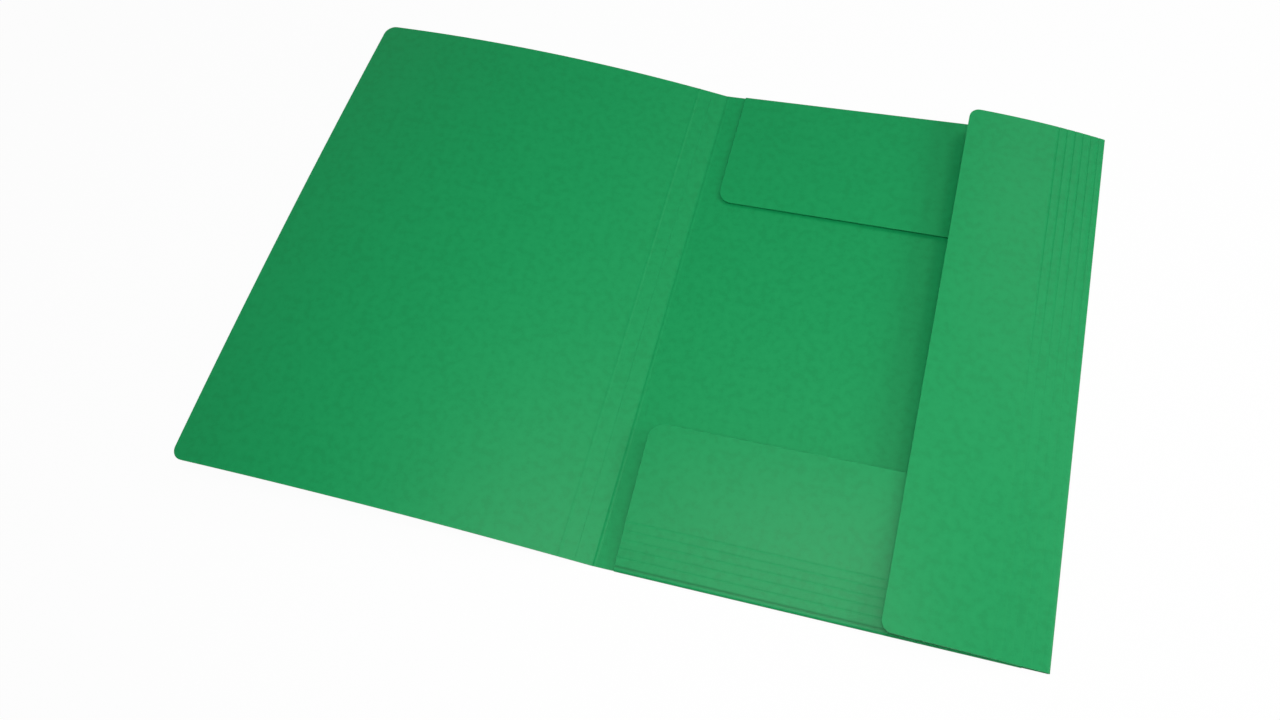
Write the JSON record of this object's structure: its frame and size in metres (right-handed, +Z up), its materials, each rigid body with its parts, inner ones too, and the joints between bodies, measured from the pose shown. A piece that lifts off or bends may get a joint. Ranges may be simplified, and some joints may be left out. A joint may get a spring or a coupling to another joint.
{
  "type": "three flap folder",
  "caption": "Pressboard document folder with a hinged front cover and spine, a hinged side flap, and top and bottom flaps folded in.",
  "frame": {"origin": "middle of the open folder's footprint, on the surface that it lies on", "axes": "+X from the front cover to the side flap, +Y from the bottom flap to the top flap, +Z up"},
  "size_m": [0.4924, 0.3208, 0.0355],
  "materials": {
    "pressboard": "satin varnish over a mottled green"
  },
  "bodies": {
    "back": {"back_cover": "pressboard"},
    "spine": {"spine": "pressboard"},
    "cover": {"front_cover": "pressboard"},
    "flap": {"side_flap": "pressboard"}
  },
  "joints": [
    {"name": "spine_fold", "type": "hinge", "parent": "back", "child": "spine", "pos_m": [0.00585, 0, 0.0005], "axis": [0, 1, 0], "range_deg": [-2.6, 74]},
    {"name": "cover_fold", "type": "hinge", "parent": "spine", "child": "cover", "pos_m": [-0.01353, 0, 0.00549], "axis": [0, 1, 0], "range_deg": [-3.5, 96.5]},
    {"name": "side_fold", "type": "hinge", "parent": "back", "child": "flap", "pos_m": [0.24485, 0, 0.0014], "axis": [0, 1, 0], "range_deg": [0, 166]}
  ]
}
